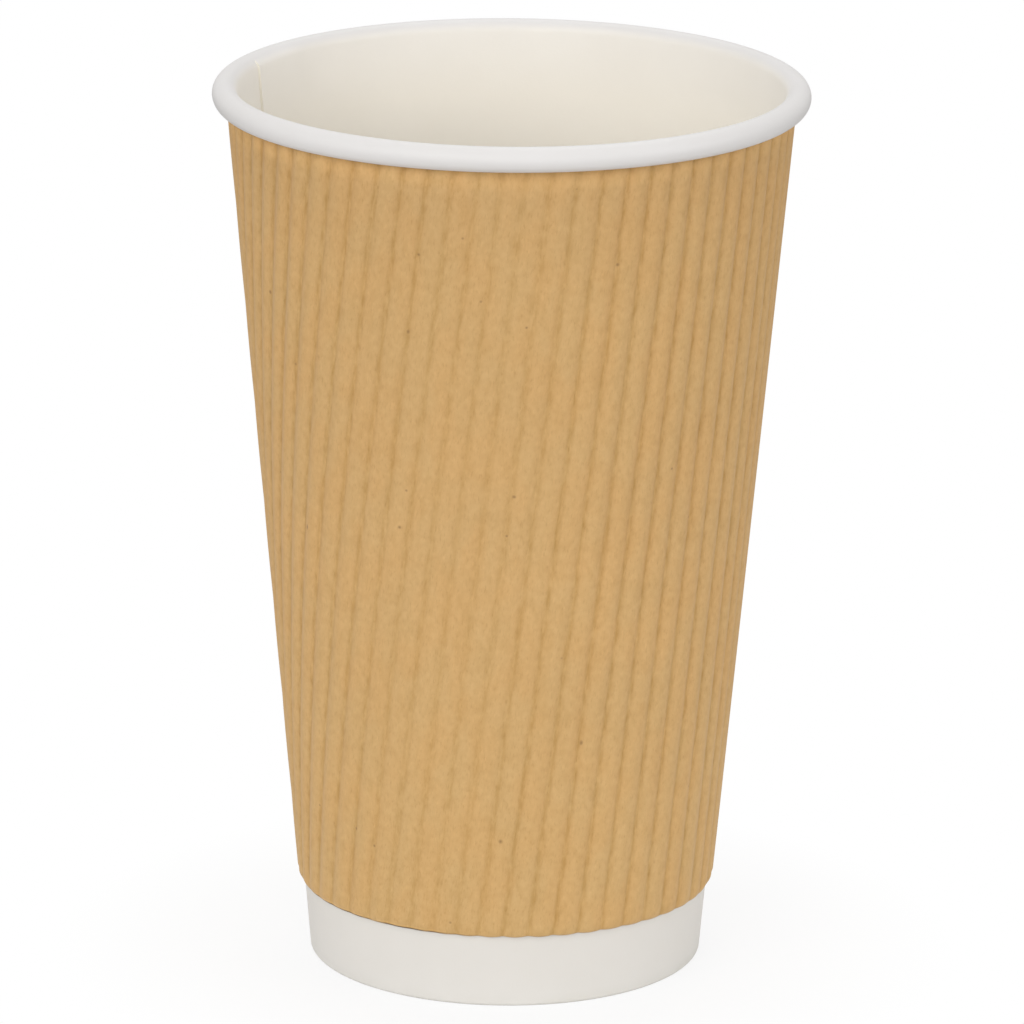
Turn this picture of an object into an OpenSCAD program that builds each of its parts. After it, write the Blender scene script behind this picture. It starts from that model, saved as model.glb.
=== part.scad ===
// Paper coffee cup with a fluted kraft wrap
// A blank of coated board is rolled to a cone and lapped up one side. Its top edge is
// curled outwards into a hollow bead, and its bottom edge is folded in and up, so that
// it grips the skirt of a base disc set above the table. A fan-shaped sheet of fluted
// kraft paper is glued round the outside, from under the bead to just above the foot.
// Sizes are in millimetres. The origin is the middle of the foot ring, on the surface
// that the cup stands on, with +Z up and the front towards -Y.

/* [Cup wall] */
// Height from the foot to the top of the rolled rim
cup_h = 136.5; // [110:0.5:160]
// Outer diameter of the rolled rim
rim_d = 90; // [84:0.5:98]
// Outer diameter of the wall where it reaches the table
foot_d = 60; // [54:0.5:66]
// Thickness of the wall's coated board
wall_board = 0.38; // [0.3:0.01:0.46]
// Direction in which the raw edge of the side seam lies inside the cup
seam_turn = 159.5; // [90:0.5:270]
// Width of the side seam's lap, as an angle round the cup
seam_lap = 11; // [7:0.5:16]

/* [Rolled rim] */
// Diameter of the bead in section
bead_d = 3.8; // [3.4:0.1:4.6]
// Turns that the board makes in the bead
bead_turns = 1.15; // [0.9:0.05:1.25]
// Gap between the bead's outer turn and the tail curled up in it
curl_gap = 0.1; // [0.05:0.01:0.2]

/* [Base] */
// Height of the disc's upper face above the table
base_rise = 9; // [7.5:0.25:14]
// Thickness of the disc's board
base_board = 0.38; // [0.3:0.01:0.46]
// Outer radius of the bend between the disc and its skirt
base_bend = 1.2; // [0.8:0.1:2]
// Length of the hem, the wall's bottom edge folded up inside the skirt
hem_h = 6.2; // [4:0.2:7]
// Thickness of the film of glue between the plies
glue = 0.03; // [0.01:0.01:0.08]
// Width of the flat that the folded foot is pressed to
foot_flat = 0.5; // [0.2:0.05:0.7]

/* [Kraft wrap] */
// Thickness of the kraft paper
kraft_t = 0.3; // [0.2:0.02:0.4]
// Height of the wrap's lower edge above the table
wrap_rise = 11.5; // [9:0.5:20]
// Gap between the wrap's upper edge and the bead
wrap_seat = 0.1; // [0.05:0.05:0.5]
// Gap between the cup wall and the flats that are pressed beside the wrap's lap
wrap_gap = 0.22; // [0.18:0.02:0.4]
// Direction in which the flutes run straight up the cup
flute_turn = -14.5; // [-90:0.5:60]
// Spacing of the flutes across the flat sheet
flute_pitch = 3.88; // [3.4:0.02:6]
// Depth of the flutes, from crest to valley
flute_depth = 0.42; // [0.2:0.01:0.5]
// Height of the crests over the level of those flats, above the lower edge
crest_foot = 0.53; // [0.5:0.01:0.8]
// The same under the rim, where the wrap stands further off the cup
crest_rim = 0.98; // [0.6:0.01:1.2]
// Height of the band where the lower edge is pressed in
crimp_h = 2.5; // [1.5:0.25:5]
// Gap between the cup wall and the pressed lower edge
crimp_gap = 0.08; // [0.04:0.01:0.2]

/* [Wrap seam] */
// Direction of the middle of the wrap's glued lap
lap_turn = 150; // [120:0.5:200]
// Width of the lap
lap_w = 8; // [5:0.5:12]
// Glue and slack between the two plies of the lap
lap_gap = 0.18; // [0.16:0.02:0.3]
// Width of the flat that is pressed into the flutes on each side of the lap
lap_flat = 7; // [6.5:0.5:10]
// Width over which the flutes come up to their full depth beside the flat
lap_fade = 5; // [3:0.5:10]

/* [Hidden] */
$fn = 180;

// Centre of the bead in section, as [radius, height]
bead_r = bead_d / 2;
bead_c = [(rim_d - bead_d) / 2, cup_h - bead_r];

// Lean of the wall from upright, at which its inner face runs tangent into the bead
wall_reach = bead_c[0] - foot_d / 2;
lean = acos((bead_r - wall_board) / norm([wall_reach, bead_c[1]])) - atan2(bead_c[1], wall_reach);

// Length of the wall's straight part, measured up its outer face
wall_len = (bead_c[1] + (bead_r - wall_board) * sin(lean)) / cos(lean);

// Fold at the foot: its outer radius, half the angle of its flat, and its centre
fold_r = wall_board + base_board / 2 + glue;
fold_flat = asin(foot_flat / 2 / fold_r);
fold_z = fold_r * cos(fold_flat);
fold_c = [foot_d / 2 + fold_z * tan(lean) - fold_r / cos(lean), fold_z];
fold_up = (fold_z - fold_r * sin(lean)) / cos(lean);
fold_steps = 6;

// Bead: steps round the curl, the turn at which the tail starts to tuck in, and how fast
bead_steps = 34;
tuck_from = 0.7;
tuck_rate = (wall_board + curl_gap) / (1 - tuck_from);

// Part of a turn in which the seam's inner ply is ironed flat into the bead
ply_turn = 0.18;
ply_steps = 6;
// Angle that the flat beside the lap takes to run back into the wall
ply_ramp = 10;
// How far that flat is turned from the lap's own tangent, and its sink in board widths
ply_bite = 1.5;
ply_sink = 0.1;
// Distance from each end of the ply's straight part at which the flat ends
ply_stop = 0.8;

// Point of the wall's section, a depth in from its outer face and a distance up it
function on_wall(depth, up) = [
    foot_d / 2 + up * sin(lean) - depth * cos(lean),
    up * cos(lean) + depth * sin(lean)
];

// Radius of the wall's outer face at a height
function wall_r(z) = foot_d / 2 + z * tan(lean);

// Point of the bead's section, some turns on from the wall and a radius from its centre
function on_bead(turns, r) = bead_c + r * [cos(180 - lean - 360 * turns), sin(180 - lean - 360 * turns)];

// Radius of the curl's outer face after some turns
function curl_r(turns) = bead_r - max(0, turns - tuck_from) * tuck_rate;

function reverse(list) = [for (i = [len(list) - 1:-1:0]) list[i]];

function clamp01(v) = min(1, max(0, v));

// Face of the board round the fold, from one angle to another, counted from its lowest
// point and positive towards the outside
function fold_face(r, from, to) = [
    for (i = [0:fold_steps])
        let (a = from + (to - from) * i / fold_steps)
        fold_c + r * [sin(a), -cos(a)]
];

// Face of the board round the bead, at an inset from the curl's outer face
function bead_face(inset) = [
    for (i = [0:bead_steps])
        let (turns = bead_turns * i / bead_steps)
        on_bead(turns, curl_r(turns) - inset)
];

// Section of the wall: up the coated face from the hem to the bead, and back down
wall_section = concat(
    [on_wall(2 * fold_r - wall_board, fold_up + hem_h)],
    fold_face(fold_r - wall_board, -90 - lean, 90 - lean),
    bead_face(0),
    reverse(bead_face(wall_board)),
    reverse(fold_face(fold_r, fold_flat, 90 - lean)),
    reverse(fold_face(fold_r, -90 - lean, -fold_flat)),
    [on_wall(2 * fold_r, fold_up + hem_h)]
);

// Section of the seam's inner ply, from above the disc to where it fades into the bead
ply_low = (base_rise + glue) / cos(lean);
ply_section = concat(
    [on_wall(wall_board / 2, ply_low), on_wall(2 * wall_board, ply_low)],
    [for (i = [0:ply_steps]) on_bead(ply_turn * i / ply_steps, bead_r + wall_board * (1 - 1.3 * i / ply_steps))],
    [for (i = [ply_steps:-1:0]) on_bead(ply_turn * i / ply_steps, bead_r - wall_board / 2)]
);

// Section of the flat beside the inner ply
flat_section = [
    on_wall(wall_board / 2, ply_low + ply_stop),
    on_wall(2 * wall_board, ply_low + ply_stop),
    on_wall(2 * wall_board, wall_len - ply_stop),
    on_wall(wall_board / 2, wall_len - ply_stop)
];

// Base disc: depth of its skirt's outer face in the wall, and the centre of its bend
skirt_depth = wall_board + glue;
bend_z = base_rise - base_bend;
bend_c = [wall_r(bend_z) - (skirt_depth + base_bend) / cos(lean), bend_z];
bend_steps = 8;

function bend_face(r) = [
    for (i = [0:bend_steps])
        let (a = 90 - (90 + lean) * i / bend_steps)
        bend_c + r * [cos(a), sin(a)]
];

base_section = concat(
    [[0, base_rise]],
    bend_face(base_bend),
    [on_wall(skirt_depth, fold_up), on_wall(skirt_depth + base_board, fold_up)],
    reverse(bend_face(base_bend - base_board)),
    [[0, base_rise - base_board]]
);

// Wrap: heights of its upper edge and of the top of its pressed band
wrap_top = cup_h - bead_d - wrap_seat;
crimp_top = wrap_rise + crimp_h;

// Cone through the crests of the flutes, whose flat pattern is the fan-shaped sheet
crest_low = wall_r(crimp_top) + wrap_gap + kraft_t + crest_foot;
crest_high = wall_r(wrap_top) + wrap_gap + kraft_t + crest_rim;
flare = atan((crest_high - crest_low) / (wrap_top - crimp_top));

// Distances from the fan's apex to the wrap's upper edge, pressed band and lower edge
fan_top = crest_high / sin(flare);
fan_crimp = crest_low / sin(flare);
fan_low = fan_crimp - crimp_h / cos(flare);

// Angles on the flat sheet from the upright flute to the sheet's two ends. The under
// end lies on the cup, and the over end is glued over it.
lap_half = lap_w / (fan_low + fan_top) * 180 / PI;
over_end = (lap_turn - flute_turn) * sin(flare) + lap_half;
under_end = (360 - lap_turn + flute_turn) * sin(flare) + lap_half;

// Points across one flute, from the bottom of one valley, and how full its crest is
flute_points = [0, 0.14, 0.38, 0.62, 0.86];
crest_power = 0.7;
// Steps up the wrap above the pressed band
wrap_steps = 5;
rows = wrap_steps + 1;
// Length cut from the sheet's sharp upper corners
corner = 0.4;

// Places of the lines of points, measured across the flutes on the flat sheet
x_first = corner - fan_top * sin(under_end);
x_last = fan_top * sin(over_end) - corner;
columns = concat(
    [x_first],
    [
        for (k = [floor(x_first / flute_pitch):floor(x_last / flute_pitch)])
            for (u = flute_points)
                let (x = (k + u) * flute_pitch)
                if (x > x_first + corner && x < x_last - corner) x
    ],
    [x_last]
);

// Distance from the apex to the foot of a line, on the lower edge or on a side edge
function column_foot(x) = max(fan_low, x / sin(x > 0 ? over_end : -under_end));

// Distance from the apex to a row of points. The rows lie closer together low down,
// where the outer flutes turn fastest round the cone.
function row_place(row) =
    let (share = (row - 1) / wrap_steps)
    row == 0 ? fan_low : 1 / ((1 - share) / fan_crimp + share / fan_top);

// The same on a line that starts higher, from a side edge of the sheet
function sheet_s(x, row) =
    let (share = (row_place(row) - fan_low) / (fan_top - fan_low))
    column_foot(x) + share * (fan_top - column_foot(x));

// Distance along the sheet from a point to the nearer of its side edges
function side_run(x, s) = s * ((x > 0 ? over_end : under_end) - abs(asin(x / s))) * PI / 180;

// How far a point of the sheet is clear of the flats pressed beside the lap, from 0 to 1
function clear_of_lap(x, s) = clamp01((side_run(x, s) - lap_w - lap_flat) / lap_fade);

// Point of the wrap's inner face (ply 0) or outer face (ply kraft_t)
function wrap_point(x, s, ply) =
    let (
        z = wrap_top - (fan_top - s) * cos(flare),
        turn = flute_turn + asin(x / s) / sin(flare),
        up = clamp01((z - crimp_top) / (wrap_top - crimp_top)),
        open = clamp01((z - wrap_rise) / crimp_h),
        clear = clear_of_lap(x, s),
        gap = crimp_gap + (wrap_gap - crimp_gap) * open,
        lift = x > 0 ? (kraft_t + lap_gap) * (1 - clear) : 0,
        crest = crest_foot + (crest_rim - crest_foot) * up,
        valley = flute_depth * (1 - pow(abs(sin(180 * x / flute_pitch)), crest_power)),
        r = wall_r(z) + gap + lift + (crest - valley) * open * clear + ply
    )
    [r * cos(turn), r * sin(turn), z];

wrap_points = [
    for (x = columns)
        for (row = [0:rows])
            for (ply = [0, kraft_t])
                wrap_point(x, sheet_s(x, row), ply)
];

// Place in wrap_points of a point: its line, its row, and 0 inside or 1 outside
function at(line, row, side) = (line * (rows + 1) + row) * 2 + side;

// Two triangles that fill four corners given in order
function quad(a, b, c, d) = [[a, b, c], [a, c, d]];

last = len(columns) - 1;

wrap_faces = [
    for (i = [0:last - 1])
        for (j = [0:rows - 1])
            each concat(
                quad(at(i, j, 1), at(i, j + 1, 1), at(i + 1, j + 1, 1), at(i + 1, j, 1)),
                quad(at(i, j, 0), at(i + 1, j, 0), at(i + 1, j + 1, 0), at(i, j + 1, 0))
            ),
    for (i = [0:last - 1])
        each concat(
            quad(at(i, 0, 1), at(i + 1, 0, 1), at(i + 1, 0, 0), at(i, 0, 0)),
            quad(at(i + 1, rows, 1), at(i, rows, 1), at(i, rows, 0), at(i + 1, rows, 0))
        ),
    for (j = [0:rows - 1])
        each concat(
            quad(at(0, j + 1, 1), at(0, j, 1), at(0, j, 0), at(0, j + 1, 0)),
            quad(at(last, j, 1), at(last, j + 1, 1), at(last, j + 1, 0), at(last, j, 0))
        )
];

// Sector of a section, from one direction to another
module sector(section, from, to) {
    rotate([0, 0, from])
        rotate_extrude(angle = to - from)
            polygon(section);
}

// Lapped side seam, seen inside the cup as a raw edge. The inner ply ends square at that
// edge, and on its other side it runs back to the wall as a flat, tangent to the cone.
module seam_ply() {
    ply_start = seam_turn - seam_lap;
    flat_foot = on_wall(wall_board * (2 - ply_sink), 0);
    sector(ply_section, ply_start, seam_turn);
    difference() {
        sector(flat_section, ply_start - ply_ramp, ply_start + ply_bite);
        rotate([0, 0, ply_start])
            translate([flat_foot[0], 0, flat_foot[1]])
                rotate([0, lean, 0])
                    rotate([0, 0, ply_bite])
                        translate([-rim_d, -rim_d, -cup_h])
                            cube([rim_d, 2 * rim_d, 3 * cup_h]);
    }
}

// Side wall of white coated board, with its rolled rim, its folded hem and its seam
module cup_wall() {
    color("#ebe8e4")
        union() {
            rotate_extrude() polygon(wall_section);
            seam_ply();
        }
}

// Base disc of the same board, pressed into a shallow tray with its skirt downwards
module base_disc() {
    color("#e4e0d8")
        rotate_extrude() polygon(base_section);
}

// Sheet of fluted kraft paper, wrapped into a cone and lapped at the back
module ripple_wrap() {
    color("#cca46d")
        polyhedron(points = wrap_points, faces = wrap_faces, convexity = 20);
}

cup_wall();
base_disc();
ripple_wrap();
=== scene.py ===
from math import acos, asin, atan, atan2, ceil, cos, floor, hypot, pi, radians, sin, tan

import bmesh
import bpy
from mathutils import Matrix, Vector, noise


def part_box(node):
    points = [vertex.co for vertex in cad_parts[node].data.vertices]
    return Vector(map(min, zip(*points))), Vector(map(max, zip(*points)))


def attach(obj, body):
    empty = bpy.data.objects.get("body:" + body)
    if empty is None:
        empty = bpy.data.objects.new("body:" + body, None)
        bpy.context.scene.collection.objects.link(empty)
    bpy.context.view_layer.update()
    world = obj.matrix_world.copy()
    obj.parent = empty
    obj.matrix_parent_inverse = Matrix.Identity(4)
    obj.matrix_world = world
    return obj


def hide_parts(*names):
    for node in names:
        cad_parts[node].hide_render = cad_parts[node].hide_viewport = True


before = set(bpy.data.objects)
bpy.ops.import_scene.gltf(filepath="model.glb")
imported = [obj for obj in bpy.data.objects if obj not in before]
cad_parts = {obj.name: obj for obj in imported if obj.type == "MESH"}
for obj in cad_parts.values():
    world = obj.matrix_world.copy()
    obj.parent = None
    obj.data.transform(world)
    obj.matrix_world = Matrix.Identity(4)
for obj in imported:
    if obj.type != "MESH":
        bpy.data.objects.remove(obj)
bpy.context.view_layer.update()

# Side wall
# One fan-shaped blank of white board with a thin coating on both faces. It is rolled
# into a cone and lapped up one side. Its top edge is curled outwards into the hollow
# rim, and its bottom edge is folded in and up to grip the skirt of the base disc.
mm = 0.001
wall_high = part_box("cup_wall")[1]
cup_h = wall_high.z
rim_r = wall_high.x
foot_r = 30 * mm
board_t = 0.38 * mm
bead_r = 1.9 * mm
bead_turns = 1.15
tuck_from = 0.7
bead_steps = 44
curl_gap = 0.1 * mm
glue_t = 0.03 * mm
hem_h = 6.2 * mm
foot_flat = 0.5 * mm
fold_steps = 6

bead_c = Vector((rim_r - bead_r, cup_h - bead_r))
to_bead = bead_c - Vector((foot_r, 0))
lean = acos((bead_r - board_t) / to_bead.length) - atan2(to_bead.y, to_bead.x)
wall_len = (bead_c.y + (bead_r - board_t) * sin(lean)) / cos(lean)
fold_r = 1.5 * board_t + glue_t
fold_half = asin(foot_flat / 2 / fold_r)
fold_z = fold_r * cos(fold_half)
fold_c = Vector((foot_r + fold_z * tan(lean) - fold_r / cos(lean), fold_z))
fold_up = (fold_c.y - fold_r * sin(lean)) / cos(lean)


def on_wall(depth, up):
    """Point of the wall's section, a depth in from its outer face and a distance up it."""
    return Vector((foot_r + up * sin(lean) - depth * cos(lean), up * cos(lean) + depth * sin(lean)))


def wall_radius(z):
    return foot_r + z * tan(lean)


def arc(centre, radius, start, end, steps):
    """Points of an arc of the section; radius may change with the share of the way."""
    points = []
    for i in range(steps + 1):
        share = i / steps
        r = radius(share) if callable(radius) else radius
        angle = start + (end - start) * share
        points.append(centre + r * Vector((cos(angle), sin(angle))))
    return points


def bead_face(inset):
    """Face of the board round the rolled rim, from the wall to the tucked-in tail."""
    tuck = (board_t + curl_gap) / (1 - tuck_from)
    start = pi - lean
    return arc(
        bead_c,
        lambda share: bead_r - inset - max(0, share * bead_turns - tuck_from) * tuck,
        start, start - 2 * pi * bead_turns, bead_steps,
    )


def fold_face(radius, start, end):
    """Face of the board round the fold at the foot, in angles counted from straight down."""
    return arc(fold_c, radius, start - pi / 2, end - pi / 2, fold_steps)


# The seam: where its raw edge lies, the width of the lap, and the run back to the wall
seam_turn = radians(159.5)
seam_lap = radians(11)
seam_ramp = radians(9)
base_rise = 9 * mm
seam_low = (base_rise + glue_t) / cos(lean)
# Turns of the bead in which the lapped ply and the inside's cream and painted light fade out
seam_fade, cream_and_light_fade = 0.14, 0.15
# Amount of cream and painted light at the start of the bead, down to a depth in the cup, and below that:
# painted light is strongest near the rim, and there is less of it lower down, as painted shade
bead_cream_and_light, upper_cream_and_light, lower_cream_and_light = 0.6, 1.0, 0.7
painted_light_depth = 24 * mm
# Sink of the outer face beside the seam, and the height over which it begins
outer_step, step_rise = 0.26 * mm, 2 * mm
wall_columns, wall_rows = 480, 14
knurls, knurl_depth = 96, 0.07 * mm


def part_way(low, high, value):
    """0 below low, 1 above high, and smooth in between."""
    share = min(1, max(0, (value - low) / (high - low)))
    return share * share * (3 - 2 * share)


def upright(depth, rows):
    """Points up the straight part of the wall, above the fold and below the bead."""
    return [on_wall(depth, fold_up + (wall_len - fold_up) * i / rows) for i in range(1, rows)]


# Each point of the section also says how far it rises with the lapped ply (ply), sinks
# beside the outer edge of the seam (step), is pressed by the knurled roller (knurl), and
# shows the cream tint of the inside with its painted light (tint, which is -1 on the
# blank's outer face).
section = []


def add_points(points, ply=0.0, step=0.0, knurl=0.0, tint=0.0):
    section.extend((p, ply, step, knurl, tint) for p in points)


hem_rows = 5
edge_gap = 0.02 * mm
add_points([on_wall(2 * fold_r - board_t, fold_up + hem_h)])
add_points(fold_face(fold_r - board_t, -pi / 2 - lean, pi / 2 - lean))
add_points([on_wall(board_t, seam_low - edge_gap)], tint=1)
add_points([on_wall(board_t, seam_low)], ply=1, tint=1)
for point in upright(board_t, wall_rows):
    if point.y > 2 * seam_low:
        # Painted light makes the inside paler near the rim, and painted shade makes it darker lower down
        shade = upper_cream_and_light if cup_h - point.y < painted_light_depth else lower_cream_and_light
        add_points([point], ply=1, tint=shade)
# The inside's cream and painted light fade out round the start of the bead
for i, point in enumerate(bead_face(0)):
    turned = bead_turns * i / bead_steps
    shade = bead_cream_and_light * (1 - part_way(0, cream_and_light_fade, turned))
    add_points([point], ply=1 - part_way(0, seam_fade, turned), tint=shade)
add_points(reversed(bead_face(board_t)))
add_points(reversed(upright(0, wall_rows)), step=1, tint=-1)
add_points(reversed(fold_face(fold_r, fold_half, pi / 2 - lean)), tint=-1)
add_points(reversed(fold_face(fold_r, -pi / 2 - lean, -fold_half)), tint=-1)
for i in range(1, hem_rows):
    add_points([on_wall(2 * fold_r, fold_up + hem_h * i / hem_rows)], knurl=1, tint=-1)
add_points([on_wall(2 * fold_r, fold_up + hem_h)], tint=-1)


def draw_section(bm, points, closed):
    """An outline in the XZ plane, as vertices and the edges between them."""
    verts = [bm.verts.new((p[0], 0, p[1])) for p in points]
    ring = verts + verts[:1] if closed else verts
    return verts, [bm.edges.new(pair) for pair in zip(ring, ring[1:])]


def turn_round(bm, outline, steps):
    """Turns an outline once about the upright axis, into a closed skin."""
    bmesh.ops.spin(
        bm, geom=outline, cent=(0, 0, 0), axis=(0, 0, 1), angle=2 * pi, steps=steps, use_merge=True
    )
    bmesh.ops.remove_doubles(bm, verts=bm.verts, dist=0.001 * mm)


def finished(bm, name, materials, sharp=radians(35)):
    """The piece as an object at the origin, shaded smooth but for its sharp edges."""
    mesh = bpy.data.meshes.new(name)
    bm.to_mesh(mesh)
    bm.free()
    for face in mesh.polygons:
        face.use_smooth = True
    mesh.set_sharp_from_angle(angle=sharp)
    for material in materials:
        mesh.materials.append(material)
    piece = bpy.data.objects.new(name, mesh)
    bpy.context.scene.collection.objects.link(piece)
    return piece


def build_wall():
    bm = bmesh.new()
    layers = [bm.verts.layers.float.new(name) for name in ("ply", "step", "knurl", "tint")]
    verts, edges = draw_section(bm, [p for p, *_ in section], closed=True)
    for vert, (_, *values) in zip(verts, section):
        for layer, value in zip(layers, values):
            vert[layer] = value
    turn_round(bm, verts + edges, wall_columns)
    ply, step, knurl, tint = layers
    column = 2 * pi / wall_columns
    beside = 0.0002
    lap_start = seam_turn - seam_lap
    for vert in bm.verts:
        turn = atan2(vert.co.y, vert.co.x) % (2 * pi)
        radius = hypot(vert.co.x, vert.co.y)
        z = vert.co.z
        # The columns on either side of a raw edge are drawn up to it
        for edge in (seam_turn, lap_start):
            if abs(turn - edge) < column:
                turn = edge + (beside if turn > edge else -beside)
        lapped = turn < seam_turn and part_way(lap_start - seam_ramp, lap_start, turn)
        if vert[ply] and lapped:
            out = Vector((radius, z)) - bead_c
            if z < bead_c.y:
                out = Vector((-cos(lean), sin(lean)))
            move = board_t * vert[ply] * lapped * out.normalized()
            radius += move.x
            z += move.y
        if vert[step] and turn < lap_start:
            near = part_way(lap_start - seam_ramp, lap_start, turn)
            radius -= outer_step * near * vert[step] * part_way(0, step_rise, z)
        radius += knurl_depth * vert[knurl] * (0.5 - 0.5 * cos(knurls * turn))
        vert.co = (radius * cos(turn), radius * sin(turn), z)
    bmesh.ops.recalc_face_normals(bm, faces=bm.faces)
    # The raw edge of the ply is the one face that looks along the wall
    for face in bm.faces:
        place = face.calc_center_median()
        turn = atan2(place.y, place.x)
        across = Vector((-sin(turn), cos(turn), 0))
        if abs(face.normal.dot(across)) > 0.8 and abs(face.normal.z) < 0.3:
            face.material_index = 1
        elif all(vert[tint] < -0.5 for vert in face.verts):
            face.material_index = 2
    return bm


def add_node(tree, kind, inputs=None, **settings):
    """A node with its settings; an input is a value, or the socket that feeds it."""
    made = tree.nodes.new("ShaderNode" + kind)
    for name, value in settings.items():
        setattr(made, name, value)
    for name, value in (inputs or {}).items():
        if isinstance(value, bpy.types.NodeSocket):
            tree.links.new(value, made.inputs[name])
        else:
            made.inputs[name].default_value = value
    return made


def new_group(name, takes, gives):
    """An empty shader node group, and its input and output nodes."""
    group = bpy.data.node_groups.new(name, "ShaderNodeTree")
    for socket, kind, value in takes:
        made = group.interface.new_socket(socket, in_out="INPUT", socket_type="NodeSocket" + kind)
        if value is not None:
            made.default_value = value
    for socket, kind in gives:
        group.interface.new_socket(socket, in_out="OUTPUT", socket_type="NodeSocket" + kind)
    return group, group.nodes.new("NodeGroupInput"), group.nodes.new("NodeGroupOutput")


def new_material(name):
    material = bpy.data.materials.new(name)
    material.use_nodes = True
    tree = material.node_tree
    return material, tree, tree.nodes["Principled BSDF"]


def mix_colour(tree, factor, first, second, blend="MIX"):
    inputs = {0: factor, 6: first, 7: second}
    return add_node(tree, "Mix", inputs, data_type="RGBA", blend_type=blend).outputs[2]


def faded(tree, value, full, none, strength):
    """An amount that is strength where the value reaches full, and 0 where it reaches none."""
    limits = {"Value": value, "From Min": full, "From Max": none, "To Min": strength, "To Max": 0.0}
    return add_node(tree, "MapRange", limits).outputs[0]


def build_formation():
    """The cloudy formation and the fine tooth of a sheet of paper, as two values from 0 to 1."""
    group, takes, gives = new_group(
        "paper_formation",
        [("Vector", "Vector", None), ("Cloud size", "Float", 0.012), ("Tooth size", "Float", 0.0005)],
        [("Cloud", "Float"), ("Tooth", "Float")],
    )
    for name, size, detail in (("Cloud", "Cloud size", 3.0), ("Tooth", "Tooth size", 4.0)):
        per_metre = add_node(group, "Math", {0: 1.0, 1: takes.outputs[size]}, operation="DIVIDE")
        pattern = add_node(group, "TexNoise", {
            "Vector": takes.outputs["Vector"], "Scale": per_metre.outputs[0],
            "Detail": detail, "Roughness": 0.6,
        })
        spread = add_node(
            group, "MapRange", {"Value": pattern.outputs["Fac"], "From Min": 0.3, "From Max": 0.7}
        )
        group.links.new(spread.outputs[0], gives.inputs[name])
    return group


formation = build_formation()


def paper_texture(tree, place, cloud, tooth):
    """The formation at a place, with the sizes of its clouds and its tooth in metres."""
    inputs = {"Vector": place, "Cloud size": cloud, "Tooth size": tooth}
    return add_node(tree, "Group", inputs, node_tree=formation)


def roughen(tree, shader, tooth, strength, height):
    """Lets the tooth of the paper catch the light."""
    bump = add_node(tree, "Bump", {"Height": tooth, "Strength": strength, "Distance": height})
    tree.links.new(bump.outputs["Normal"], shader.inputs["Normal"])


def coated_board(name, colour, tinted, soiled, roughness):
    """White board under a thin coating: a soft sheen, a faint mottle, and scuffs at the foot."""
    material, tree, shader = new_material(name)
    place = add_node(tree, "TexCoord").outputs["Object"]
    paper = paper_texture(tree, place, 0.011, 0.0004)
    tint = add_node(tree, "Attribute", attribute_name="tint").outputs["Fac"]
    plain = mix_colour(tree, tint, (*colour, 1), (*tinted, 1))
    cloud = add_node(tree, "Math", {0: paper.outputs["Cloud"], 1: 0.5}, operation="MULTIPLY")
    mottled = mix_colour(tree, cloud.outputs[0], plain, (0.965, 0.96, 0.95, 1), "MULTIPLY")
    height = add_node(tree, "SeparateXYZ", {"Vector": place}).outputs["Z"]
    worn = faded(tree, height, 0.0, 0.002, 0.8)
    patchy = add_node(tree, "Math", {0: worn, 1: paper.outputs["Cloud"]}, operation="MULTIPLY")
    tree.links.new(mix_colour(tree, patchy.outputs[0], mottled, (*soiled, 1)), shader.inputs["Base Color"])
    sheen = add_node(
        tree, "MapRange",
        {"Value": paper.outputs["Tooth"], "To Min": roughness - 0.06, "To Max": roughness + 0.06},
    )
    tree.links.new(sheen.outputs[0], shader.inputs["Roughness"])
    roughen(tree, shader, paper.outputs["Tooth"], 0.25, 0.02 * mm)
    shader.inputs["Specular IOR Level"].default_value = 0.4
    return material


def bare_pulp(name, colour, shade):
    """Cut edge of the board, where the bare pulp shows between the coatings."""
    material, tree, shader = new_material(name)
    place = add_node(tree, "TexCoord").outputs["Object"]
    paper = paper_texture(tree, place, 0.003, 0.00015)
    tree.links.new(
        mix_colour(tree, paper.outputs["Tooth"], (*colour, 1), (*shade, 1)), shader.inputs["Base Color"]
    )
    roughen(tree, shader, paper.outputs["Tooth"], 0.6, 0.05 * mm)
    shader.inputs["Roughness"].default_value = 0.9
    return material


# The inside's cream is partly its own tint and partly painted light: it is made paler to stand for the
# light that falls into the cup
bead_white, inside_cream_and_light = (0.724, 0.706, 0.694), (0.92, 0.876, 0.792)
outside_white = (0.665, 0.645, 0.61)
inner_face = coated_board("inner_face", bead_white, inside_cream_and_light, (0.66, 0.63, 0.58), 0.5)
outer_face = coated_board("outer_face", outside_white, outside_white, (0.61, 0.59, 0.54), 0.55)
# The cut edge's colour is the cream of the bare pulp, made paler as painted light for the light it catches
cut_edge = bare_pulp("cut_edge", (0.91, 0.87, 0.78), (0.86, 0.81, 0.71))

side_wall = finished(build_wall(), "side_wall", [inner_face, cut_edge, outer_face])
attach(side_wall, "root")
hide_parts("cup_wall")

# Base disc
# A round blank of the same board, pressed into a shallow tray with its skirt downwards.
# The skirt is glued and rolled between the wall and the hem, so that the cup stands on
# the fold of the wall, and the disc hangs clear of the table.
disc_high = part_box("base_disc")[1]
disc_bend = 1.2 * mm
skirt_depth = board_t + glue_t
bend_c = Vector((
    wall_radius(disc_high.z - disc_bend) - (skirt_depth + disc_bend) / cos(lean), disc_high.z - disc_bend
))
disc_rings, disc_columns, bend_steps = 6, 180, 8


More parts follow.
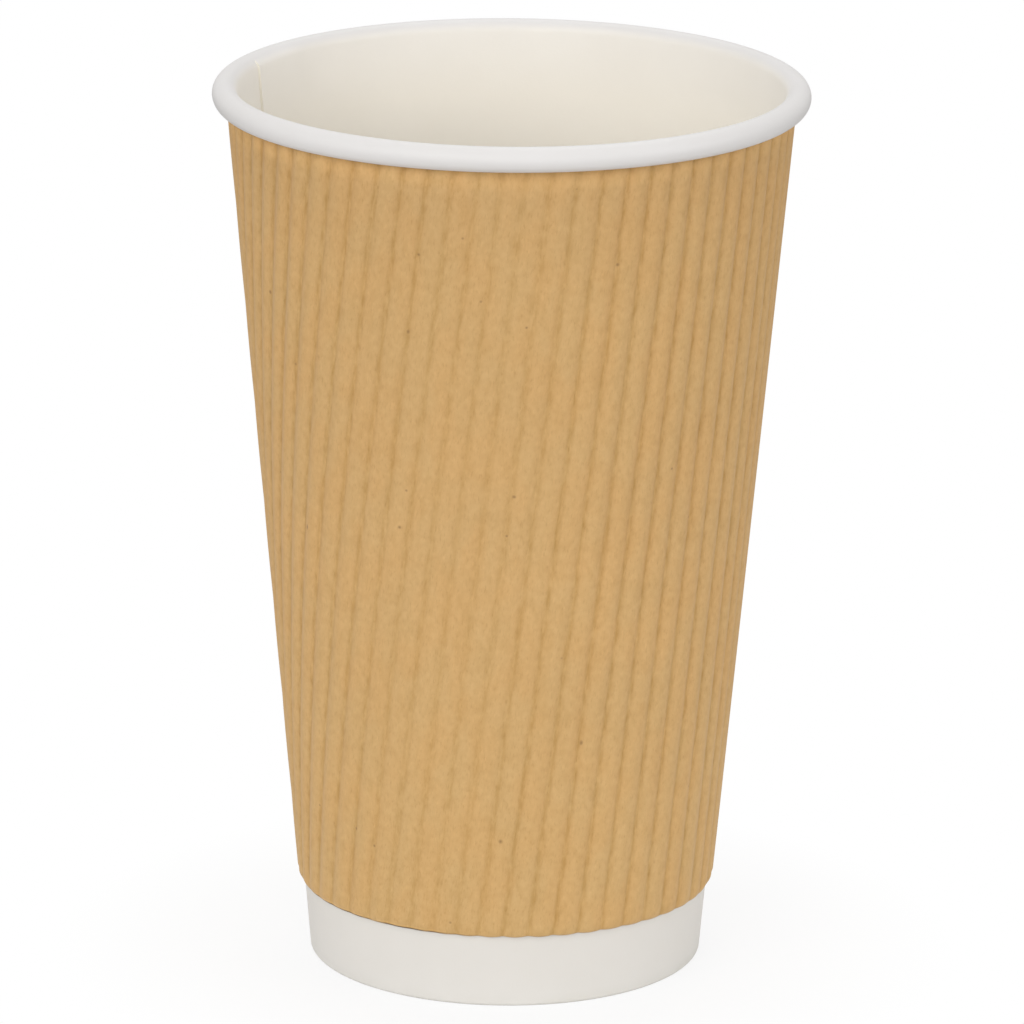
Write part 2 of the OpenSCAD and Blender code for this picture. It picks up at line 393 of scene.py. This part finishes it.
def disc_section():
    flat_r = bend_c.x
    top = [Vector((flat_r * i / disc_rings, disc_high.z)) for i in range(disc_rings)]
    under = [Vector((flat_r * i / disc_rings, disc_high.z - board_t)) for i in range(disc_rings)]
    return (
        top
        + arc(bend_c, disc_bend, pi / 2, -lean, bend_steps)
        + [on_wall(skirt_depth, fold_up), on_wall(skirt_depth + board_t, fold_up)]
        + arc(bend_c, disc_bend - board_t, -lean, pi / 2, bend_steps)
        + under[::-1]
    )


def build_disc():
    bm = bmesh.new()
    verts, edges = draw_section(bm, disc_section(), closed=False)
    turn_round(bm, verts + edges, disc_columns)
    bmesh.ops.recalc_face_normals(bm, faces=bm.faces)
    return bm


disc_cream = (0.84, 0.80, 0.73)
disc_board = coated_board("disc_board", disc_cream, disc_cream, (0.80, 0.76, 0.68), 0.5)
base_disc = finished(build_disc(), "pressed_base", [disc_board])
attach(base_disc, "root")
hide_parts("base_disc")

# Kraft wrap
# A fan-shaped sheet of unbleached kraft paper, embossed with parallel flutes while flat.
# It is rolled round the wall and lapped on itself at the back, where the flutes are
# pressed flat for the glue, and its lower edge is pressed in against the wall.
wrap_low, wrap_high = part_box("ripple_wrap")
wrap_rise, wrap_top = wrap_low.z, wrap_high.z
kraft_t = 0.3 * mm
wrap_gap = 0.22 * mm
crimp_gap = 0.08 * mm
# The pressed edge: its height, how fast it closes, and how far the valleys' edge creeps up
crimp_h, crimp_power, notch = 1.35 * mm, 1.8, 0.32 * mm
flute_turn = radians(-14.5)
flute_pitch = 3.88 * mm
flute_depth = 0.42 * mm
crest_foot, crest_rim = 0.42 * mm, 0.87 * mm
crimp_top = wrap_rise + crimp_h

# Cone through the crests, which unrolls to the flat fan
crest_low = wall_radius(crimp_top) + wrap_gap + kraft_t + crest_foot
crest_high = wall_radius(wrap_top) + wrap_gap + kraft_t + crest_rim
flare = atan((crest_high - crest_low) / (wrap_top - crimp_top))
fan_top = crest_high / sin(flare)
fan_crimp = crest_low / sin(flare)
fan_low = fan_crimp - crimp_h / cos(flare)

# The lap, as angles on the flat fan counted from the flute that runs upright
lap_turn = radians(150)
lap_w = 8 * mm
lap_gap = 0.18 * mm
lap_flat = 7 * mm
lap_fade = 5 * mm
lap_half = lap_w / (fan_low + fan_top)
over_end = (lap_turn - flute_turn) * sin(flare) + lap_half
under_end = (2 * pi - lap_turn + flute_turn) * sin(flare) + lap_half

# The sheet is embossed a little unevenly. Each table gives a value at a few places across
# the sheet, in millimetres from its upright flute: how far the flutes stray sideways, how
# far they turn from their true run, how deep they are, how narrow their crests are, and
# how far they stay open at the lower edge.
strays = (
    (-300, 0.2), (-100, 0.3), (-88, 0.4), (-64, 1.3), (-45, 0.38), (-22, 0.35), (-12, 0.55), (-6, 1.0),
    (60, 0.3), (300, 0.0)
)
twists = ((-300, 0.0), (-92, 0.0), (-76, -0.5), (-62, 0.0), (-54, 0.5), (-42, 0.0), (300, 0.0))
depths = (
    (-300, 1.0), (-92, 1.2), (-72, 1.0), (-62, 0.72), (-52, 0.6), (-42, 1.05), (-27, 1.55), (-14, 1.55),
    (10, 1.0), (300, 1.0)
)
powers = (
    (-300, 1.2), (-92, 1.2), (-83, 0.7), (-72, 0.7), (-62, 1.2), (-52, 1.5), (-42, 0.7), (-27, 0.45),
    (-13, 0.47), (-7, 1.0), (60, 1.0), (300, 0.7)
)
loose = ((-300, 0.1), (-58, 0.12), (-38, 0.45), (-14, 0.3), (0, 0.12), (300, 0.1))


def across(table, x):
    for (x0, y0), (x1, y1) in zip(table, table[1:]):
        if x <= x1 * mm:
            return y0 + (y1 - y0) * part_way(x0 * mm, x1 * mm, x)
    return table[-1][1]


# How round a valley's bottom is, the largest share of a crest that a valley takes up, the
# height on a flute at which its painted shade begins, and the most painted shade that a
# deep flute gets
valley_soft, deepest, valley_shade_from, valley_shade_most = 0.2, 0.95, 0.6, 1.1
# Size of the flutes' sideways wobble, share by which their depth varies, and how fast each
# changes across and along the sheet, per metre
wobble_most, wobble_rates = 0.09 * mm, (500, 60)
depth_spread, depth_rates = 0.3, (180, 25)


def uneven(rates, x, s, layer):
    """A smooth value from -1 to 1 that wanders over the sheet."""
    return noise.noise(Vector((x * rates[0], s * rates[1], layer)))


def flute_shape(x, power):
    """Height of a flute across the sheet: 0 in the narrow valley, 1 on the broad crest."""
    wave = sin(pi * x / flute_pitch) ** 2 + valley_soft ** 2
    low, high = valley_soft ** power, (1 + valley_soft ** 2) ** (power / 2)
    return (wave ** (power / 2) - low) / (high - low)


def roll(x, s):
    """Place on the cup of a point of the flat fan, and the painted shade of its valley."""
    z = wrap_top - (fan_top - s) * cos(flare)
    turn = flute_turn + asin(x / s) / sin(flare)
    up = min(1, max(0, (z - crimp_top) / (wrap_top - crimp_top)))
    pressed = 1 - (1 - min(1, max(0, (z - wrap_rise) / crimp_h))) ** crimp_power
    side_run = s * ((over_end if x > 0 else under_end) - abs(asin(x / s)))
    clear = min(1, max(0, (side_run - lap_w - lap_flat) / lap_fade))
    gap = crimp_gap + (wrap_gap - crimp_gap) * pressed
    lift = (kraft_t + lap_gap) * (1 - clear) if x > 0 else 0
    wobble = wobble_most * uneven(wobble_rates, x, s, 0)
    share = across(depths, x)
    aside = (across(strays, x) + across(twists, x) * (1 - 2 * up)) * mm
    crest = flute_shape(x - aside + wobble, across(powers, x))
    height = crest_foot + (crest_rim - crest_foot) * up
    varied = 1 + depth_spread * uneven(depth_rates, x, s, 7)
    depth = min(deepest * height, flute_depth * share * varied)
    kept = across(loose, x) * (1 - pressed) + pressed
    z += notch * (kept - pressed) * (1 - crest) * clear
    r = wall_radius(z) + gap + lift + (height - depth * (1 - crest)) * kept * clear + kraft_t
    # Painted shade in the valley, stronger where the flutes are deeper
    valley_shade = part_way(valley_shade_from, 0, crest) * min(valley_shade_most, share) * clear
    return Vector((r * cos(turn), r * sin(turn), z)), valley_shade


flute_columns, sheet_rows, pressed_rows = 14, 34, 6


def build_wrap():
    bm = bmesh.new()
    first = floor(-fan_top * sin(under_end) / flute_pitch)
    last = ceil(fan_top * sin(over_end) / flute_pitch)
    columns = (last - first) * flute_columns
    bmesh.ops.create_grid(bm, x_segments=columns, y_segments=sheet_rows, size=0.5)
    crimp_share = (fan_crimp - fan_low) / (fan_top - fan_low)
    crimp_rows = pressed_rows / sheet_rows
    for vert in bm.verts:
        x = (first + (vert.co.x + 0.5) * (last - first)) * flute_pitch
        share = vert.co.y + 0.5
        if share < crimp_rows:
            share *= crimp_share / crimp_rows
        else:
            share = crimp_share + (share - crimp_rows) / (1 - crimp_rows) * (1 - crimp_share)
        s = fan_low + share * (fan_top - fan_low)
        vert.co = (x, (s * s - x * x) ** 0.5, 0)
    for end, side in ((over_end, 1), (-under_end, -1)):
        bmesh.ops.bisect_plane(
            bm, geom=bm.verts[:] + bm.edges[:] + bm.faces[:], dist=0.001 * mm,
            plane_co=(0, 0, 0), plane_no=(side * cos(end), -side * sin(end), 0), clear_outer=True,
        )
    sheet = bm.loops.layers.uv.new("sheet")
    # The valley layer holds the painted shade of each point in the flutes' valleys
    valley = bm.verts.layers.float.new("valley")
    for face in bm.faces:
        for loop in face.loops:
            loop[sheet].uv = loop.vert.co.xy
    for vert in bm.verts:
        x, y = vert.co.xy
        vert.co, vert[valley] = roll(x, hypot(x, y))
    bmesh.ops.recalc_face_normals(bm, faces=bm.faces)
    if sum(face.normal.dot(face.calc_center_median()) for face in bm.faces) < 0:
        bmesh.ops.reverse_faces(bm, faces=bm.faces)
    return bm


# Dark specks of bark in the pulp: place on the flat sheet and size, in millimetres, and
# how much wider than long each one is
bark = (
    (-34.2, 387.1, 0.22, 0.6), (-44.6, 370.5, 0.28, 0.9), (-49.5, 425.6, 0.3, 1.3),
    (-68.5, 365.6, 0.25, 1.0), (-38.3, 462.4, 0.26, 1.0), (-68.3, 460.5, 0.25, 1.2),
    (-68.5, 448.2, 0.25, 0.8), (-66.1, 417.3, 0.25, 1.0), (-64.7, 364.2, 0.22, 1.0),
    (-51.0, 452.1, 0.2, 1.0), (-49.8, 419.3, 0.2, 1.0), (-97.1, 443.9, 0.25, 0.8),
    (-24.5, 430.0, 0.2, 1.0), (-83.8, 410.5, 0.25, 0.6),
)


def kraft_paper():
    """Unbleached kraft: brown pulp with short fibres and dark specks, soft and matt, with painted shade in
    the valleys and near the edges, and painted light at the very top.
    """
    material, tree, shader = new_material("kraft_paper")
    sheet = add_node(tree, "UVMap", uv_map="sheet").outputs["UV"]
    valley = add_node(tree, "Attribute", attribute_name="valley").outputs["Fac"]
    paper = paper_texture(tree, sheet, 0.016, 0.0004)

    def noise_of(scale, detail, low, high, rotation=0.0):
        """A noise stretched along the sheet, as an amount from 0 at low to 1 at high."""
        turned = add_node(tree, "Mapping", {"Vector": sheet, "Rotation": (0, 0, rotation), "Scale": scale})
        pattern = add_node(tree, "TexNoise", {"Vector": turned.outputs[0], "Scale": 1.0, "Detail": detail})
        return faded(tree, pattern.outputs["Fac"], high, low, 1.0)

    # Painted shade darkens the valleys, in broken streaks
    streaks = noise_of((1800, 350, 1), 2.0, 0.3, 0.7)
    valley_shade = add_node(tree, "Math", {0: valley, 1: streaks}, operation="MULTIPLY")
    crest_brown, valley_painted_shade = (0.603, 0.382, 0.163, 1), (0.487, 0.293, 0.103, 1)
    colour = mix_colour(tree, valley_shade.outputs[0], crest_brown, valley_painted_shade)
    # Clouds, blotches and a fine mottle in the pulp
    cloud = add_node(tree, "Math", {0: paper.outputs["Cloud"], 1: 0.4}, operation="MULTIPLY")
    colour = mix_colour(tree, cloud.outputs[0], colour, (0.93, 0.92, 0.90, 1), "MULTIPLY")
    blotch = noise_of((520, 300, 1), 2.0, 0.5, 0.68)
    colour = mix_colour(tree, blotch, colour, (0.955, 0.945, 0.91, 1), "MULTIPLY")
    mottle = noise_of((1200, 850, 1), 3.0, 0.35, 0.65)
    colour = mix_colour(tree, mottle, colour, (0.94, 0.925, 0.88, 1), "MULTIPLY")
    rosy = noise_of((190, 80, 5), 2.0, 0.42, 0.6)
    colour = mix_colour(tree, rosy, colour, (1.015, 0.985, 0.95, 1), "MULTIPLY")
    # Short fibres, which lie in three directions
    dark_fibres, pale_fibres, brown_fibres = (0.93, 0.915, 0.87), (1.04, 1.04, 1.05), (0.94, 0.925, 0.89)
    for angle, shade in ((0.2, dark_fibres), (-0.5, pale_fibres), (0.9, brown_fibres)):
        fibres = noise_of((3600, 900, 1), 1.0, 0.6, 0.7, angle)
        colour = mix_colour(tree, fibres, colour, (*shade, 1), "MULTIPLY")
    # Fine specks in one cell of five, and then the larger bits of bark
    cells = add_node(tree, "TexVoronoi", {"Vector": sheet, "Scale": 260.0, "Randomness": 1.0})
    dot = faded(tree, cells.outputs["Distance"], 0.02, 0.07, 0.7)
    chosen = add_node(tree, "SeparateColor", {"Color": cells.outputs["Color"]})
    rare = add_node(tree, "Math", {0: chosen.outputs[0], 1: 0.8}, operation="GREATER_THAN")
    shown = add_node(tree, "Math", {0: dot, 1: rare.outputs[0]}, operation="MULTIPLY")
    colour = mix_colour(tree, shown.outputs[0], colour, (0.30, 0.17, 0.07, 1))
    for x, y, size, flat in bark:
        away = add_node(tree, "VectorMath", {0: sheet, 1: (x * mm, y * mm, 0)}, operation="SUBTRACT")
        shaped = add_node(tree, "VectorMath", {0: away.outputs[0], 1: (1, flat, 0)}, operation="MULTIPLY")
        off = add_node(tree, "VectorMath", {0: shaped.outputs[0]}, operation="LENGTH").outputs["Value"]
        spot = faded(tree, off, 0.2 * size * mm, 1.35 * size * mm, 0.85)
        colour = mix_colour(tree, spot, colour, (0.27, 0.15, 0.06, 1))
    # Painted shade deepens the sheet for a way below the rim and towards its lower edge, and painted light
    # makes its very top pale, to lift the shadow under the bead
    far = add_node(tree, "VectorMath", {0: sheet}, operation="LENGTH").outputs["Value"]
    for none, full, shade in (
        (fan_top - 3 * mm, fan_top, (1.25, 1.25, 1.24, 1)),
        (fan_top - 18 * mm, fan_top - 3 * mm, (0.96, 0.955, 0.96, 1)),
        (fan_low + 60 * mm, fan_low, (0.94, 0.955, 0.95, 1)),
    ):
        colour = mix_colour(tree, faded(tree, far, full, none, 1.0), colour, shade, "MULTIPLY")
    # In places along the lower edge, a paler band lies just above a dark line, and the dark line is
    # painted shade for the shadowed gap under the edge
    side = add_node(tree, "SeparateXYZ", {"Vector": sheet}).outputs["X"]
    edge_patches = noise_of((300, 300, 1), 2.0, 0.32, 0.5)
    for none, full in ((-45, -55), (-86, -78)):
        inputs = {0: edge_patches, 1: faded(tree, side, full * mm, none * mm, 1.0)}
        edge_patches = add_node(tree, "Math", inputs, operation="MULTIPLY").outputs[0]
    pale_band, edge_shade = (1.14, 1.12, 1.06, 1), (0.16, 0.10, 0.04, 1)
    for none, full, shade, blend in ((0.7, 0.45, pale_band, "MULTIPLY"), (0.32, 0.14, edge_shade, "MIX")):
        near = faded(tree, far, fan_low + full * mm, fan_low + none * mm, 1.0)
        amount = add_node(tree, "Math", {0: near, 1: edge_patches}, operation="MULTIPLY")
        colour = mix_colour(tree, amount.outputs[0], colour, shade, blend)
    tree.links.new(colour, shader.inputs["Base Color"])
    roughen(tree, shader, paper.outputs["Tooth"], 0.35, 0.03 * mm)
    rough = add_node(tree, "MapRange", {"Value": valley, "To Min": 0.75, "To Max": 0.9})
    tree.links.new(rough.outputs[0], shader.inputs["Roughness"])
    shader.inputs["Specular IOR Level"].default_value = 0.35
    shader.inputs["Sheen Weight"].default_value = 0.1
    shader.inputs["Sheen Roughness"].default_value = 0.4
    return material


kraft_wrap = finished(build_wrap(), "kraft_wrap", [kraft_paper()], sharp=radians(60))
paper_ply = kraft_wrap.modifiers.new("paper_ply", "SOLIDIFY")
paper_ply.thickness = kraft_t
paper_ply.offset = -1
paper_ply.use_even_offset = True
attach(kraft_wrap, "root")
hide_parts("ripple_wrap")

# Studio
# A plain white table and backdrop, which keep only the cup's own soft shadow. Two soft
# boxes light the front, one stands at each side, and one behind reaches into the cup.
floor_r = 3.0
# The table's own shading, which shows near the foot only
shadow_strength, shadow_full, shadow_end = 0.2, 32 * mm, 70 * mm
# What the table throws back on the cup, paler near it than far away
pale_near, pale_far = (80 * mm, 0.9), (300 * mm, 0.3)


def build_floor():
    bm = bmesh.new()
    bmesh.ops.create_circle(bm, cap_ends=True, segments=64, radius=floor_r)
    return bm


def table_top():
    material, tree, shader = new_material("table_top")
    tree.nodes.remove(shader)
    place = add_node(tree, "TexCoord").outputs["Object"]
    away = add_node(tree, "VectorMath", {0: place}, operation="LENGTH").outputs["Value"]
    near = faded(tree, away, shadow_full, shadow_end, shadow_strength)
    pale = add_node(tree, "MapRange", {
        "Value": away, "From Min": pale_near[0], "From Max": pale_far[0],
        "To Min": pale_near[1], "To Max": pale_far[1],
    })
    seen = add_node(tree, "LightPath")
    lit = add_node(tree, "BsdfDiffuse", {"Color": pale.outputs[0]})
    white = add_node(tree, "Emission", {"Color": (1, 1, 1, 1), "Strength": 1.0})
    blend = add_node(tree, "MixShader", {0: near, 1: white.outputs[0], 2: lit.outputs[0]})
    camera_ray = seen.outputs["Is Camera Ray"]
    plain = add_node(tree, "MixShader", {0: camera_ray, 1: lit.outputs[0], 2: blend.outputs[0]})
    tree.links.new(plain.outputs[0], tree.nodes["Material Output"].inputs["Surface"])
    return material


table = finished(build_floor(), "table", [table_top()])

world = bpy.data.worlds.new("surround")
bpy.context.scene.world = world
world.use_nodes = True
sky = world.node_tree
sky.nodes.clear()
ray = add_node(sky, "LightPath")
soft = add_node(sky, "Background", {"Color": (1, 1, 1, 1), "Strength": 0.55})
blank = add_node(sky, "Background", {"Color": (1, 1, 1, 1), "Strength": 1.0})
straight = ray.outputs["Is Camera Ray"]
for kind in ("Is Transmission Ray", "Is Glossy Ray"):
    straight = add_node(sky, "Math", {0: straight, 1: ray.outputs[kind]}, operation="MAXIMUM").outputs[0]
choice = add_node(sky, "MixShader", {0: straight, 1: soft.outputs[0], 2: blank.outputs[0]})
sky_out = add_node(sky, "OutputWorld")
sky.links.new(choice.outputs[0], sky_out.inputs["Surface"])


box_side = 1.0


def soft_light(name, place, power):
    """A square soft box that faces the middle of the cup."""
    lamp = bpy.data.lights.new(name, "AREA")
    lamp.size = box_side
    lamp.energy = power
    holder = bpy.data.objects.new(name, lamp)
    bpy.context.scene.collection.objects.link(holder)
    holder.location = place
    aim = Vector((0, 0, cup_h / 2)) - Vector(place)
    holder.rotation_mode = "QUATERNION"
    holder.rotation_quaternion = aim.to_track_quat("-Z", "Y")


soft_light("main_soft_box", (-0.75, -1.2, 0.9), 8.8)
soft_light("front_soft_box", (0, -1.6, 0.1), 9.4)
soft_light("right_soft_box", (1.3, -0.5, 0.5), 6.3)
soft_light("left_soft_box", (-1.3, -0.5, 0.5), 2.3)
soft_light("back_soft_box", (0, 0.9, 1.3), 5.1)

# Camera
# A long lens, a little above the rim, as in a catalogue picture. Its distance, pitch,
# roll and aim put the rim, the sides and the foot where the photograph has them.
picture = 1024
camera_away = 1204.256 * mm
camera_pitch = radians(16.0631)
camera_roll = radians(-0.4648)
aim_right, aim_up = -3.672, 5.347
focal_pixels = 7899.094
aim_height = 136.561 * mm / 2

data = bpy.data.cameras.new("camera")
data.sensor_width = 36
data.lens = data.sensor_width * focal_pixels / picture
data.clip_start, data.clip_end = 0.05, 20
camera = bpy.data.objects.new("camera", data)
bpy.context.scene.collection.objects.link(camera)
forward = Vector((0, cos(camera_pitch), -sin(camera_pitch)))
right = Vector((1, 0, 0))
up = right.cross(forward)
aside = Matrix.Rotation(atan(aim_right / focal_pixels), 3, up)
forward, right = aside @ forward, aside @ right
tilt = Matrix.Rotation(atan(aim_up / focal_pixels), 3, right)
forward, up = tilt @ forward, tilt @ up
spin_about = Matrix.Rotation(camera_roll, 3, forward)
right, up = spin_about @ right, spin_about @ up
turned = Matrix((right, up, -forward)).transposed().to_4x4()
place = Vector((0, -camera_away * cos(camera_pitch), aim_height + camera_away * sin(camera_pitch)))
camera.matrix_world = Matrix.Translation(place) @ turned
bpy.context.scene.camera = camera
bpy.context.scene.view_settings.view_transform = "Standard"
